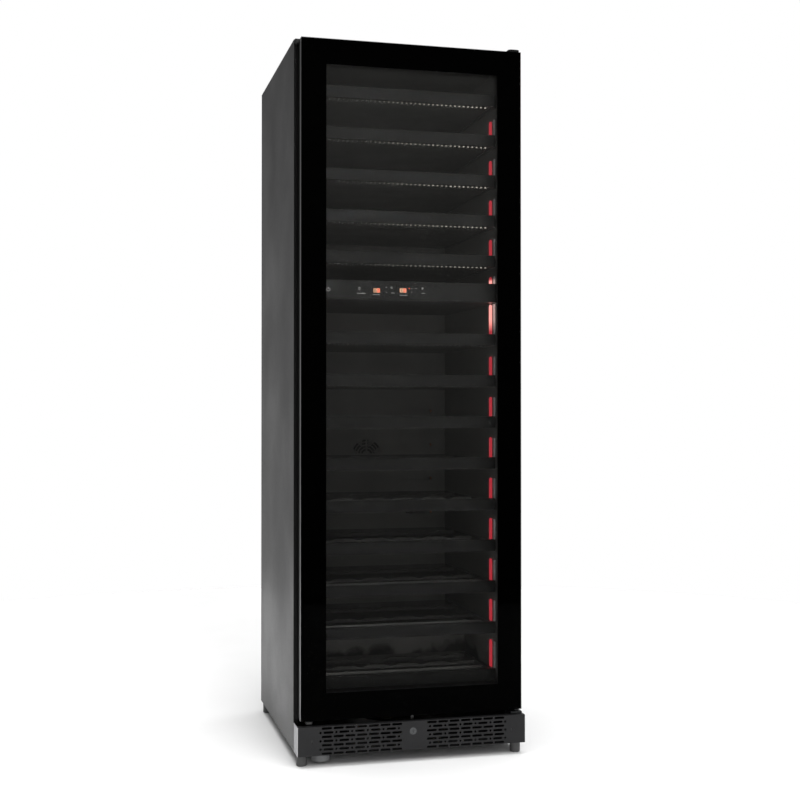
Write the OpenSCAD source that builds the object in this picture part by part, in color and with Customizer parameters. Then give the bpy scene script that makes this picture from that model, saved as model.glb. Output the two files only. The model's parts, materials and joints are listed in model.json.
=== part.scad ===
// Tall two-zone wine cooler: a steel cabinet with foamed walls, a hinged glass door, fourteen
// sliding bottle shelves and a fan-cooled compressor unit behind a slotted plinth.
// Millimetres. Origin on the floor under the middle of the outer box, -Y to the front, +Z up.
// Every sub-part is drawn with Y = 0 on the door's front face and moved back by to_frame().

/* [Cabinet] */
// Width across the two side panels
cabinet_w = 595; // [595:1:600]
// Height of the top panel above the floor
cabinet_top = 1829; // [1828:1:1832]
// Depth of the side panels
cabinet_d = 586; // [584:1:600]
// Depth from the door's front face to the ends of the wall spacers
overall_d = 680; // [670:1:700]
// Height of the base plate above the floor
base_z = 30; // [28:1:31]
// Half the width of the inner liner
liner_hw = 252; // [251:0.5:252]

/* [Door] */
// Width of the door
door_w = 578; // [574:1:578]
// Height of the door's lower edge above the floor
door_bottom = 116; // [114:1:118]
// Height of the door's upper edge above the floor
door_top = 1820; // [1818:1:1821]
// Thickness of the door without its gasket
door_t = 50; // [48:1:50]
// Width of the black border beside the window
side_border = 64; // [61:1:67]
// Height of the black border under the window
bottom_border = 68; // [64:1:72]
// Height of the black border over the window
top_border = 64; // [60:1:68]
// Distance from the hinge axis to the middle of the cabinet
hinge_x = 282; // [281:0.5:282]

/* [Shelves] */
// Height of the top edge of the highest shelf
upper_shelf_top = 1723.6; // [1720:0.1:1726]
// Distance between shelves in the upper zone
upper_pitch = 106.4; // [105:0.1:107]
// Height of the top edge of the highest shelf in the lower zone
lower_shelf_top = 1090; // [1088:0.5:1092]
// Distance between shelves in the lower zone
lower_pitch = 108.4; // [107:0.1:108.6]
// Height of the top edge of the lowest shelf
lowest_shelf_top = 208; // [206:1:212]
// Height of a shelf's front strip
fascia_h = 30; // [26:1:31]
// Half the width of a shelf's front strip
fascia_hw = 243; // [240:0.5:243]

/* [Plinth and feet] */
// Height of the kick plate's upper edge above the floor
kick_top = 101.5; // [100:0.5:101.5]
// Radius of a foot
foot_r = 13.5; // [12:0.5:14]
// Radius of the round lock
lock_r = 9; // [7:0.5:10]

/* [Hidden] */
$fn = 48;
SHELVES = [for (i = [1:14]) i];
function shelf_name(i) = str("shelf_", i < 10 ? "0" : "", i);

// Cabinet shell
sheet = 1;
seal_t = 12;
half_w = cabinet_w / 2;
front_y = door_t + seal_t;
back_y = front_y + cabinet_d;
flange_w = 12;
joint = 0.5;
seam = 0.05;

// Liner and insulation: the liner steps up at the rear over the machine compartment
liner_t = 2;
liner_front = front_y + 1.5;
liner_floor = 150;
liner_top = 1790;
liner_back = 600;
hump_y = 385;
hump_z = 297;
machine_y = 422;
machine_top = 255;
foam_hw = liner_hw + liner_t + joint;
pipe_x = 200;
pipe_y = 573;

// Zone divider and air ducts
divider_z = [1175, 1222];
duct_y = 545;
duct_hw = 240;
fan_r = 50;
fan_gap = 3;
upper_fan_z = 1600;
lower_fan_z = 760;
cond_fan = [-150, 520, 145];
cond_fan_r = 70;
display_x = [-79, -9.3];
display_z = 1199;
lens_y = 137.5;
lens_w = 16.5;
lens_drop = 27;
divider_lens_drop = 21;

// Cooling machine and mains inlet
comp = [105, 545];
comp_r = 72;
inlet_x = -232;
inlet_z = 150;

// Door
door_hw = door_w / 2;
glass_t = 4;
inner_glass_y = 20;
pane_back = inner_glass_y + glass_t;
trim_t = 1.5;
frame_hw = door_hw - trim_t;
window_hw = door_hw - side_border;
window_z = [door_bottom + bottom_border, door_top - top_border];
rebate = 21;
reveal = 14;
gasket_w = 14;
gasket_hw = 280;
gasket_z = [124, 1812];
hinge_y = 28;
pin_r = 3;
fit = 0.05;

// Plinth
kick_t = 1.5;
slot_h = 5.8;
slot_l = 26;
slot_pitch = 30.05;
row_pitch = 10.4;
dot_pitch = 40.2;
field_x = [-236.6, 240.8];
lock_x = -1.5;
lock_z = 77;
bolt_x = [-2, 6];
bolt_y = [24, 30];
screw_x = 261;
screw_z = 65;
roller_x = [-271, -257];
roller_z = 106.1;
roller_r = 4.1;

// Shelves
fascia_y = 78;
fascia_t = 12;
tray_hw = 235.5;
tray_y = fascia_y + fascia_t + 0.1;
tray_t = 1;
rod_r = 4;
inner_runner_x = [235.6, 241.5];
runner_x = [242.3, liner_hw - 0.5];

// Feet: x, y of each centre
foot_x = 281.5;
front_foot_y = 34;
rear_foot_y = 620;
stem_r = 5;
foot_h = base_z - 2;

function shelf_top(i) =
    i <= 5 ? upper_shelf_top - (i - 1) * upper_pitch
    : i <= 13 ? lower_shelf_top - (i - 6) * lower_pitch
    : lowest_shelf_top;
function shelf_back(i) = i == 14 ? 370 : 530;
function bar_rows(i) = i == 14 ? [235, 330] : [260, 430];

// ---------- shared shapes ----------

module to_frame() translate([0, -overall_d / 2, 0]) children();

// Box between two opposite corners
module block(a, b) translate(a) cube(b - a);

module along_x() rotate([0, 90, 0]) children();

module along_y() rotate([-90, 0, 0]) children();

// The same solid on the left and on the right
module both_sides() {
    children();
    mirror([1, 0, 0]) children();
}

// Extrusion along X of a side profile drawn in Y and Z
module side_profile(w) rotate([90, 0, 90]) linear_extrude(height = w, center = true) children();

// Flat rectangle with round corners
module round_rect(w, h, r) {
    square([w - 2 * r, h], center = true);
    square([w, h - 2 * r], center = true);
    for (x = [-1, 1], y = [-1, 1]) translate([x * (w / 2 - r), y * (h / 2 - r)]) circle(r);
}

// Slot with round ends, w long overall
module slot_2d(w, h) {
    square([w - h, h], center = true);
    for (x = [-1, 1]) translate([x * (w - h) / 2, 0]) circle(h / 2);
}

// Tube or rod through a list of points, with a ball at each bend
module rod_path(points, r) {
    $fn = 16;
    for (i = [0:len(points) - 2]) rod_between(points[i], points[i + 1], r);
    for (i = [1:len(points) - 2]) translate(points[i]) sphere(r);
}

module rod_between(a, b, r) {
    d = b - a;
    translate(a)
        rotate([0, acos(d[2] / norm(d)), atan2(d[1], d[0])])
            cylinder(r = r, h = norm(d));
}

// Axial fan rotor with its axis along Y, hub at the origin, bored for a shaft
module fan_rotor(r, blades, depth) {
    hub_r = r * 0.3;
    difference() {
        union() {
            along_y() cylinder(r = hub_r, h = depth, center = true);
            for (i = [0:blades - 1])
                rotate([0, i * 360 / blades, 0])
                    translate([0, 0, hub_r - 2])
                        rotate([0, 0, 32])
                            translate([-r * 0.24, -0.8, 0])
                                cube([r * 0.48, 1.6, r - hub_r - 1]);
        }
        along_y() cylinder(r = 2.5 + fit, h = depth + 20, center = true);
    }
}

// Motor stub and shaft that carry a rotor, with the rotor's middle at the origin
module fan_motor(r, depth, back) {
    along_y() translate([0, 0, -depth / 2 - 1]) cylinder(r = 2.5, h = depth + 3);
    along_y() translate([0, 0, depth / 2 + 1.5]) cylinder(r = r * 0.28, h = back);
}

// ---------- cabinet ----------

// One side sheet with its front and rear flanges
module side_panel() {
    lo = base_z + 2;
    hi = cabinet_top - sheet;
    block([half_w - sheet, front_y, base_z], [half_w, back_y, cabinet_top]);
    block([half_w - flange_w, front_y, lo], [half_w, front_y + sheet, hi]);
    block([half_w - flange_w, back_y - 2 * sheet, lo], [half_w, back_y - sheet, hi]);
}

module side_panel_right() color("#202122") to_frame() side_panel();

module side_panel_left() color("#202122") to_frame() mirror([1, 0, 0]) side_panel();

module top_panel()
    color("#202122") to_frame() {
        hw = half_w - sheet;
        block([-hw, front_y, cabinet_top - sheet], [hw, back_y - sheet, cabinet_top]);
    }

module rear_panel()
    color("#3a3b3c") to_frame() {
        hw = half_w - sheet - 0.1;
        block([-hw, back_y - sheet, machine_top + 1], [hw, back_y, cabinet_top]);
    }

// Perforated cover of the machine compartment, with a cut-out for the mains inlet
module machine_cover()
    color("#2a2b2c") to_frame()
        translate([0, back_y, 0])
            rotate([90, 0, 0])
                linear_extrude(height = sheet)
                    difference() {
                        translate([0, (base_z + 2 + machine_top) / 2])
                            square([cabinet_w - 2.2, machine_top - base_z - 2], center = true);
                        for (x = [-130:26:208], z = [60:16:220])
                            translate([x, z]) slot_2d(20, 5);
                        translate([inlet_x, inlet_z]) square([30, 24], center = true);
                    }

// Base plate with foot plates and a front shelf, and tabs that hold the kick plate
module base_chassis()
    color("#4a4b4c") to_frame()
        difference() {
            union() {
                block([-half_w + sheet, front_y, base_z], [half_w - sheet, back_y - sheet, base_z + 2]);
                block([-250, 22, base_z], [250, front_y, base_z + 2]);
                both_sides() {
                    block([250, 22, base_z], [half_w - 3, front_y, base_z + 4]);
                    block([250, 22, base_z], [272, 25, screw_z + 10]);
                    block([262, back_y - 78, base_z + 1], [half_w - sheet - 0.1, back_y - 3, base_z + 5]);
                }
            }
            both_sides() {
                translate([foot_x, front_foot_y, 0]) cylinder(r = stem_r + fit, h = 60);
                translate([foot_x, rear_foot_y, 0]) cylinder(r = stem_r + fit, h = 60);
                translate([screw_x, 20, screw_z]) along_y() cylinder(r = 2.1 + fit, h = 8);
            }
        }

// Moulded stand-offs that keep the rear panel clear of the wall
module wall_spacers()
    color("#1c1c1d") to_frame()
        for (x = [-1, 1], z = [420, 1700])
            translate([x * 180, back_y, z])
                along_y() {
                    cylinder(r = 22, h = 4);
                    cylinder(r = 11, h = overall_d - back_y);
                }

// Foam boards around the liner and over the machine compartment
module insulation_foam()
    color("#e8dcae") to_frame() {
        back = back_y - 2 * sheet - joint;
        top = cabinet_top - sheet;
        floor_top = liner_floor - liner_t;
        outer = half_w - sheet;
        both_sides() {
            block([foam_hw, front_y + 2, machine_top], [outer, back, top]);
            block([foam_hw, front_y + 2, liner_floor - 42], [outer, machine_y, machine_top - joint]);
        }
        hw = foam_hw - joint;
        block([-hw, front_y + 2, liner_top + liner_t], [hw, back, top]);
        block([-hw, liner_back + liner_t, machine_top], [hw, back, liner_top + liner_t - joint]);
        block([-hw, front_y + 2, liner_floor - 42], [hw, machine_y, floor_top]);
        block([-hw, hump_y + liner_t, floor_top + joint], [hw, machine_y - joint, hump_z - liner_t]);
        difference() {
            block([-hw, machine_y, machine_top], [hw, liner_back + liner_t - joint, hump_z - liner_t]);
            translate([pipe_x, pipe_y, 0]) cylinder(r = 9, h = 400);
        }
    }

// Side view of the liner's cavity, grown outwards by t
module cavity_profile(t) {
    polygon([
        [liner_front, liner_floor - t], [hump_y + t, liner_floor - t],
        [hump_y + t, hump_z - t], [liner_back + t, hump_z - t],
        [liner_back + t, liner_top + t], [liner_front, liner_top + t]]);
}

module inner_liner()
    color("#1b1b1a") to_frame()
        difference() {
            side_profile(2 * (liner_hw + liner_t)) cavity_profile(liner_t);
            side_profile(2 * liner_hw) {
                cavity_profile(0);
                translate([liner_front - 5, liner_floor]) square([10, liner_top - liner_floor]);
            }
            translate([pipe_x, pipe_y, 200]) cylinder(r = 9, h = 200);
        }

// Strips around the mouth that the gasket seals against
module front_frame()
    color("#232424") to_frame() {
        back = liner_front;
        edge = half_w - flange_w - seam;
        both_sides()
            block([liner_hw, front_y, liner_floor - 42], [edge, back, cabinet_top - sheet]);
        hw = liner_hw - joint;
        block([-hw, front_y, liner_floor - 42], [hw, back, liner_floor]);
        block([-hw, front_y, liner_top], [hw, back, cabinet_top - sheet]);
    }

module zone_divider()
    color("#1b1b1a") to_frame()
        difference() {
            block([-liner_hw + joint, fascia_y + 18, divider_z[0]],
                  [liner_hw - joint, liner_back - joint, divider_z[1]]);
            translate([pipe_x, pipe_y, 1000]) cylinder(r = 9, h = 400);
        }

// Control strip of the divider with two display windows
module control_fascia()
    color("#151515") to_frame() {
        y = fascia_y - 2;
        difference() {
            block([-liner_hw + joint, y, divider_z[0] - 1],
                  [liner_hw - joint, fascia_y + 17.9, divider_z[1] + 1]);
            for (x = display_x)
                block([x - 13, y - 1, display_z - 8], [x + 13, y + 2, display_z + 8]);
        }
        for (x = display_x)
            block([x - 12.8, y + 0.4, display_z - 7.8], [x + 12.8, y + 1.9, display_z + 7.8]);
    }

// Lenses over the light strips: one over each shelf but the highest, and one over the divider
module led_lenses()
    color("#d8202c") to_frame()
        both_sides() {
            for (i = [2:14]) light_lens(shelf_top(i) - 6, lens_top(i));
            light_lens(divider_z[1] + 2, shelf_top(5) - fascia_h - divider_lens_drop);
        }

function lens_top(i) = i == 6 ? divider_z[0] - 2 : shelf_top(i - 1) - fascia_h - lens_drop;

// Upright lens on the side wall with a round top
module light_lens(low, top)
    translate([liner_hw - 4, lens_y, low])
        rotate([90, 0, 90])
            linear_extrude(height = 3.5)
                intersection() {
                    translate([-lens_w / 2, 0]) square([lens_w, top - low]);
                    union() {
                        translate([-lens_w / 2, 0]) square([lens_w, top - low - lens_w / 2]);
                        translate([0, top - low - lens_w / 2]) circle(lens_w / 2);
                    }
                }

// C-shaped rails that the shelves' inner members run in
module fixed_runners()
    color("#8d8f90") to_frame()
        both_sides()
            for (i = SHELVES)
                let (z = shelf_top(i) - fascia_h) {
                    difference() {
                        block([runner_x[0], 95, z + 1], [runner_x[1], shelf_back(i) + 5, z + 21]);
                        block([runner_x[0] - 1, 90, z + 2.5],
                              [runner_x[1] - 1.5, shelf_back(i) + 3.5, z + 19.5]);
                    }
                }

// Air duct cover with a round fan guard and outlet slots, fan frame behind
module duct_cover(z0, z1, fan_z) {
    difference() {
        union() {
            block([-duct_hw, duct_y, z0], [duct_hw, duct_y + 2, z1]);
            translate([0, duct_y + 1, fan_z]) along_y() cylinder(r = fan_r + fan_gap + 4, h = 30);
        }
        translate([0, duct_y + 2, fan_z]) along_y() cylinder(r = fan_r + fan_gap, h = 40);
        for (r = [14:9:46]) translate([0, duct_y - 1, fan_z]) along_y() guard_ring(r);
        for (x = [-160, 160], z = [z0 + 90:100:z1 - 60])
            translate([x, duct_y + 3, z]) rotate([90, 0, 0]) linear_extrude(height = 5) slot_2d(80, 9);
    }
    translate([0, duct_y + 18, fan_z]) fan_motor(fan_r, 18, 10);
    translate([0, duct_y + 33, fan_z]) motor_arms(fan_r + fan_gap + 3, 5);
}

// Ring-shaped cut, left whole across four ribs
module guard_ring(r)
    linear_extrude(height = 5)
        difference() {
            circle(r + 3);
            circle(r - 3);
            for (a = [0, 90]) rotate(a) square([120, 5], center = true);
        }

module motor_arms(r, t)
    for (a = [0, 60, 120])
        rotate([0, a, 0]) translate([-r, -t / 2, -3]) cube([2 * r, t, 6]);

module upper_duct_cover()
    color("#1f1f1e") to_frame() duct_cover(divider_z[1] + joint, liner_top - joint, upper_fan_z);

module lower_duct_cover()
    color("#1f1f1e") to_frame() duct_cover(hump_z + joint, divider_z[0] - joint, lower_fan_z);

module upper_fan_rotor()
    color("#2c2c2c") to_frame() translate([0, duct_y + 18, upper_fan_z]) fan_rotor(fan_r, 7, 18);

module lower_fan_rotor()
    color("#2c2c2c") to_frame() translate([0, duct_y + 18, lower_fan_z]) fan_rotor(fan_r, 7, 18);

// Tube-and-fin evaporator: z is its lower edge
module evaporator(z) {
    for (x = [-140:14:140]) block([x, duct_y + 10, z], [x + 0.8, duct_y + 46, z + 130]);
    for (k = [0:4])
        translate([-150, duct_y + 28, z + 13 + k * 26]) along_x() cylinder(r = 4, h = 300);
    for (k = [0:4], x = [-150, 150]) translate([x, duct_y + 28, z + 13 + k * 26]) sphere(4);
}

module evaporators()
    color("#b9bcbe") to_frame() {
        evaporator(1330);
        evaporator(470);
    }

// ---------- cooling machine ----------

module compressor()
    color("#161616") to_frame()
        translate([comp[0], comp[1], 0]) {
            translate([0, 0, 62]) cylinder(r = comp_r, h = 112);
            translate([0, 0, 174]) difference() {
                sphere(comp_r);
                translate([0, 0, -100]) cube(200, center = true);
                translate([0, 0, 90]) cube([200, 200, 84], center = true);
            }
            translate([0, 0, 48]) cylinder(r = comp_r - 12, h = 15);
            block([-85, -62, 44], [85, 62, 48.5]);
            for (x = [-72, 72], y = [-48, 48]) translate([x, y, base_z + 2]) cylinder(r = 9, h = 14);
            block([-comp_r - 26, -22, 95], [-comp_r + 4, 22, 145]);
        }

// Fins and tubes of the condenser, with its two end plates
module condenser()
    color("#2f3132") to_frame() {
        for (x = [-235:9:-65]) block([x, 440, 50], [x + 0.8, 480, 240]);
        for (x = [-240, -60]) block([x, 438, base_z + 2], [x + 2, 482, 244]);
        for (k = [0:6])
            translate([-245, 460, 62 + k * 28]) along_x() cylinder(r = 4, h = 192);
    }

module condenser_fan_shroud()
    color("#1d1e1e") to_frame() {
        r = cond_fan_r + fan_gap;
        difference() {
            union() {
                block([-236, 484, base_z + 2], [-64, 487, 240]);
                translate([cond_fan[0], 484, cond_fan[2]]) along_y() cylinder(r = r + 4, h = 52);
            }
            translate([cond_fan[0], 480, cond_fan[2]]) along_y() cylinder(r = r, h = 60);
        }
        translate(cond_fan) fan_motor(cond_fan_r, 24, 22);
        translate([cond_fan[0], 538, cond_fan[2]]) motor_arms(r + 2, 6);
    }

module condenser_fan_rotor()
    color("#3b3c3c") to_frame() translate(cond_fan) fan_rotor(cond_fan_r, 5, 24);

// Discharge line, liquid line up to the evaporators, and suction line back to the compressor
module refrigerant_pipes()
    color("#b87333") to_frame() {
        inlet = -52.9;
        coil = 154.6;
        rod_path([[inlet, 460, 230], [80, 460, 230], [80, 460, 130], [80, 477, 130]], 3);
        rod_path([[inlet, 460, 62], [-20, 460, 62], [-20, 434, 62], [236, 434, 62],
                  [236, pipe_y, 62], [236, pipe_y, 160], [pipe_x + 4, pipe_y, 160],
                  [pipe_x + 4, pipe_y, 1395], [coil, pipe_y, 1395]], 3);
        rod_path([[coil, pipe_y, 535], [pipe_x - 4, pipe_y, 535], [pipe_x - 4, pipe_y, 150],
                  [173.5, pipe_y, 150]], 3);
    }

// Open pan over the compressor in which condensate evaporates
module drip_tray()
    color("#dcdcd6") to_frame()
        difference() {
            block([comp[0] - 70, 480, 226], [comp[0] + 55, 610, 250]);
            block([comp[0] - 68, 482, 228], [comp[0] + 53, 608, 251]);
        }

// Shallow trap under the base, with a sump at one side, that collects condensate
module drain_cup()
    color("#6c6e6f") to_frame()
        translate([-230, 48, base_z]) {
            translate([0, 0, -14]) cylinder(r = 24, h = 14);
            translate([0, 0, -14]) intersection() {
                sphere(24);
                translate([0, 0, -4]) cube([60, 60, 8], center = true);
            }
            translate([-15, -4, -23]) cylinder(r = 9, h = 23);
            translate([0, 0, -4]) cylinder(r = 25.5, h = 4);
        }

// Power board housing with its mains inlet through the machine cover
module electronics_box()
    color("#26272a") to_frame() {
        block([-285, 566, 90], [-185, 628, 215]);
        difference() {
            translate([inlet_x, 628, inlet_z]) translate([-14, -1, -11]) cube([28, 25, 22]);
            translate([inlet_x, 636, inlet_z]) translate([-12, 0, -8.5]) cube([24, 20, 17]);
        }
        for (x = [-7, 0, 7])
            block([inlet_x + x - 1, 635, inlet_z - 2], [inlet_x + x + 1, 646, inlet_z + 2]);
    }

// ---------- plinth ----------

// One field of the grille: rows of slots alternate with rows of dots and slots
module grille_field()
    for (k = [0:6])
        translate([0, kick_top - 4.6 - k * row_pitch])
            if (k % 2 == 0)
                for (j = [0:6]) translate([slot_l / 2 + j * slot_pitch, 0]) slot_2d(slot_l, slot_h);
            else
                translate([-3, 0]) {
                    for (j = [0:5]) translate([j * dot_pitch, 0]) circle(slot_h / 2);
                    for (j = [0:4]) translate([(j + 0.5) * dot_pitch, 0]) slot_2d(slot_l - 1, slot_h);
                }

// Slotted front with two side returns, a top lip and a bottom lip, joined edge to edge
module kick_plate()
    color("#3e3f40") to_frame() {
        translate([0, kick_t, 0])
            rotate([90, 0, 0])
                linear_extrude(height = kick_t)
                    difference() {
                        translate([-half_w, base_z]) square([cabinet_w, kick_top - base_z]);
                        translate([field_x[0], 0]) grille_field();
                        translate([field_x[1], 0]) mirror([1, 0]) grille_field();
                        translate([lock_x, lock_z]) circle(lock_r + fit);
                        for (x = [-screw_x, screw_x]) translate([x, screw_z]) rotate(90) slot_2d(9, 4.4);
                    }
        y = kick_t + seam;
        both_sides()
            block([half_w - kick_t, y, base_z], [half_w, front_y - 4, kick_top]);
        hw = half_w - kick_t - seam;
        block([-hw, y, kick_top - kick_t], [hw, 20, kick_top]);
        block([-hw, y, base_z], [hw, 21.9, base_z + kick_t]);
    }

// Screws that the kick plate hooks onto, screwed into the chassis tabs
module kick_plate_screws()
    color("#2b2c2d") to_frame()
        for (x = [-screw_x, screw_x])
            translate([x, kick_t + 0.2, screw_z])
                along_y() {
                    cylinder(r = 4.5, h = 2.4);
                    cylinder(r = 2.1, h = 26);
                }

// Round lock with a keyway, a collar behind the plate and a cam
module lock_cylinder()
    color("#77797a") to_frame()
        translate([lock_x, 0, lock_z]) {
            difference() {
                along_y() cylinder(r = lock_r, h = 16);
                block([-0.8, -1, -4.5], [0.8, 5, 4.5]);
            }
            translate([0, kick_t + 0.5, 0]) along_y() cylinder(r = lock_r + 2, h = 4);
            block([-3, 15.5, -4], [3, 19, 15]);
        }

// Bolt that rises into the catch in the door
module lock_bolt()
    color("#808284") to_frame() {
        block([bolt_x[0], bolt_y[0], 62], [bolt_x[1], bolt_y[1], door_bottom - 0.8]);
        block([bolt_x[0] - 4, bolt_y[0], 62], [bolt_x[1] + 4, bolt_y[1], 70]);
    }

module foot()
    union() {
        cylinder(r = foot_r - 1.5, h = 4);
        translate([0, 0, 1.5]) cylinder(r = foot_r, h = foot_h - 3);
        cylinder(r = stem_r, h = base_z + 34);
    }

module foot_front_left() color("#3b3b3b") to_frame() translate([-foot_x, front_foot_y, 0]) foot();

module foot_front_right() color("#3b3b3b") to_frame() translate([foot_x, front_foot_y, 0]) foot();

module foot_rear_left() color("#3b3b3b") to_frame() translate([-foot_x, rear_foot_y, 0]) foot();

module foot_rear_right() color("#3b3b3b") to_frame() translate([foot_x, rear_foot_y, 0]) foot();

// ---------- hinges ----------

// Lower bracket with the collar that carries the door, and upper bracket, each with its pin
module hinge_brackets()
    color("#6a6c6e") to_frame() {
        block([264, 14, kick_top + 2], [half_w - 3.5, front_y - 0.2, kick_top + 6]);
        block([264, front_y - 4.2, 66], [half_w - 3.5, front_y - 0.2, kick_top + 6]);
        translate([hinge_x, hinge_y, kick_top + 5]) cylinder(r = 7, h = door_bottom - kick_top - 5.4);
        translate([hinge_x, hinge_y, kick_top + 5]) cylinder(r = pin_r, h = 26);
        block([266, 18, door_top + 2], [287, front_y - 0.2, door_top + 5.5]);
        block([266, front_y - 3.2, gasket_z[1] + 2], [287, front_y - 0.2, door_top + 5.5]);
        translate([hinge_x, hinge_y, door_top - 16]) cylinder(r = pin_r, h = 20);
    }

// Cap over the upper bracket
module hinge_cover()
    color("#191919") to_frame()
        translate([hinge_x - 7, 38, door_top + 0.7])
            difference() {
                linear_extrude(height = 8.8) round_rect(30, 47, 8);
                translate([0, 0, -1]) linear_extrude(height = 8.3) round_rect(27, 44, 6.5);
                block([-10, 0, -1], [13, 26, 7.3]);
            }

// ---------- door ----------

// Stiles and rails, rebated for the glass unit, bored for the hinge pins
module door_frame()
    color("#131313") to_frame() {
        difference() {
            both_sides() door_stile();
            translate([hinge_x, hinge_y, door_bottom - 1]) cylinder(r = pin_r + fit, h = 22);
            translate([hinge_x, hinge_y, door_top - 20]) cylinder(r = pin_r + fit, h = 21);
        }
        difference() {
            door_rail(door_bottom, window_z[0] - reveal, door_bottom, window_z[0] - rebate);
            block([bolt_x[0] - 6, bolt_y[0] - 3, door_bottom - 1],
                  [bolt_x[1] + 6, bolt_y[1] + 3, door_bottom + 16]);
        }
        door_rail(window_z[1] + reveal, door_top, window_z[1] + rebate, door_top);
    }

// Upright bar: both parts stand back from the window, the front one clear of the glass unit
module door_stile() {
    block([window_hw + rebate, glass_t + 0.2, door_bottom], [frame_hw, door_t, door_top]);
    block([window_hw + reveal, pane_back + 0.2, door_bottom], [frame_hw, door_t, door_top]);
}

// Cross rail between the uprights: z0 to z1 behind the glass unit, low to high in front of it
module door_rail(z0, z1, low, high) {
    back_hw = window_hw + reveal - 0.1;
    front_hw = window_hw + rebate - 0.1;
    block([-back_hw, pane_back + 0.1, z0], [back_hw, door_t, z1]);
    block([-front_hw, glass_t + 0.2, low], [front_hw, pane_back + 0.1, high]);
}

module outer_glass()
    color("#0a0a0a", 0.5) to_frame() block([-door_hw, 0, door_bottom], [door_hw, glass_t, door_top]);

module inner_glass()
    color("#101418", 0.4) to_frame() {
        e = rebate - 1;
        block([-window_hw - e, inner_glass_y, window_z[0] - e],
              [window_hw + e, pane_back, window_z[1] + e]);
    }

// Spacer bars between the two panes, hidden by the border
module glass_spacer()
    color("#4c4e50") to_frame() {
        lo = window_z[0];
        hi = window_z[1];
        both_sides()
            block([window_hw + 3, glass_t, lo - 15], [window_hw + 13, inner_glass_y, hi + 15]);
        hw = window_hw + 2.8;
        block([-hw, glass_t, lo - 13], [hw, inner_glass_y, lo - 3]);
        block([-hw, glass_t, hi + 3], [hw, inner_glass_y, hi + 13]);
    }

// Magnetic gasket in four strips that meet at the corners
module door_gasket()
    color("#1d1d1d") to_frame() {
        back = front_y - 0.3;
        both_sides()
            block([gasket_hw - gasket_w, door_t, gasket_z[0]], [gasket_hw, back, gasket_z[1]]);
        hw = gasket_hw - gasket_w - 0.1;
        block([-hw, door_t, gasket_z[0]], [hw, back, gasket_z[0] + gasket_w]);
        block([-hw, door_t, gasket_z[1] - gasket_w], [hw, back, gasket_z[1]]);
    }

// Satin strips on the door's two upright edges, behind the outer pane
module door_edge_trim()
    color("#8e9091") to_frame()
        both_sides()
            block([frame_hw + seam, glass_t + 0.2, door_bottom], [door_hw, 22, door_top]);

// Keeper for the lock bolt in the lower rail
module lock_catch()
    color("#5e6062") to_frame()
        difference() {
            block([bolt_x[0] - 5.9, bolt_y[0] - 2.9, door_bottom],
                  [bolt_x[1] + 5.9, bolt_y[1] + 2.9, door_bottom + 15]);
            block([bolt_x[0] - 1, bolt_y[0] - 1, door_bottom - 1],
                  [bolt_x[1] + 1, bolt_y[1] + 1, door_bottom + 13]);
        }

// Bracket under the door's free end, with the roller's axle
module roller_bracket()
    color("#4a4c4e") to_frame() {
        block([roller_x[0] - 4, hinge_y - 10, door_bottom - 2],
              [roller_x[1] + 4, hinge_y + 10, door_bottom]);
        for (x = [roller_x[0] - 2.2, roller_x[1] + 0.7])
            block([x, hinge_y - 3, roller_z - 3], [x + 1.5, hinge_y + 3, door_bottom - 1]);
        translate([roller_x[0] - 1.5, hinge_y, roller_z])
            along_x() cylinder(r = 1.5, h = roller_x[1] - roller_x[0] + 3);
    }

module door_roller()
    color("#a6a8a9") to_frame()
        translate([roller_x[0], hinge_y, roller_z])
            along_x()
                difference() {
                    cylinder(r = roller_r, h = roller_x[1] - roller_x[0]);
                    translate([0, 0, -1]) cylinder(r = 1.5 + fit, h = 30);
                }

// ---------- shelves ----------

// Sheet tray, folded up at the sides, with two rows of air slots behind the front strip
module shelf_tray(z, back)
    difference() {
        block([-tray_hw, tray_y, z], [tray_hw, back, z + 24]);
        block([-tray_hw + tray_t, tray_y - 1, z + tray_t],
              [tray_hw - tray_t, back - tray_t, z + 25]);
        translate([0, 0, z - 1])
            linear_extrude(height = 4)
                for (x = [-222:12:222], y = [tray_y + 5, tray_y + 22])
                    translate([x - 1.5, y]) square([3, 8]);
    }

// Bar across the shelf, scalloped for five bottle bodies side by side
module scalloped_bar(y, z)
    difference() {
        block([-tray_hw + 1.6, y, z + 14.2], [tray_hw - 1.6, y + 10, z + 23]);
        for (k = [-2:2]) translate([k * 85, y - 1, z + 56]) along_y() cylinder(r = 38, h = 12);
    }

module shelf(i) {
    top = shelf_top(i);
    z = top - fascia_h;
    back = shelf_back(i);
    color("#262727") to_frame() {
        block([-fascia_hw, fascia_y, z], [fascia_hw, fascia_y + fascia_t, top]);
        shelf_tray(z, back);
        for (y = [114, 169])
            translate([-tray_hw + 1.6, y, z + 18]) along_x() cylinder(r = rod_r, h = 2 * tray_hw - 3.2);
        for (y = bar_rows(i)) scalloped_bar(y, z);
        both_sides()
            block([inner_runner_x[0], 95, z + 4], [inner_runner_x[1], back - 10, z + 18]);
    }
}

side_panel_left();
side_panel_right();
top_panel();
rear_panel();
machine_cover();
base_chassis();
wall_spacers();
insulation_foam();
inner_liner();
front_frame();
zone_divider();
control_fascia();
led_lenses();
fixed_runners();
upper_duct_cover();
lower_duct_cover();
evaporators();
upper_fan_rotor();
lower_fan_rotor();
compressor();
condenser();
condenser_fan_shroud();
condenser_fan_rotor();
refrigerant_pipes();
drip_tray();
drain_cup();
electronics_box();
kick_plate();
kick_plate_screws();
lock_cylinder();
lock_bolt();
hinge_brackets();
hinge_cover();
foot_front_left();
foot_front_right();
foot_rear_left();
foot_rear_right();
roller_bracket();
door_roller();
door_frame();
outer_glass();
inner_glass();
glass_spacer();
door_gasket();
door_edge_trim();
lock_catch();
for (i = SHELVES) shelf(i);
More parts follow.
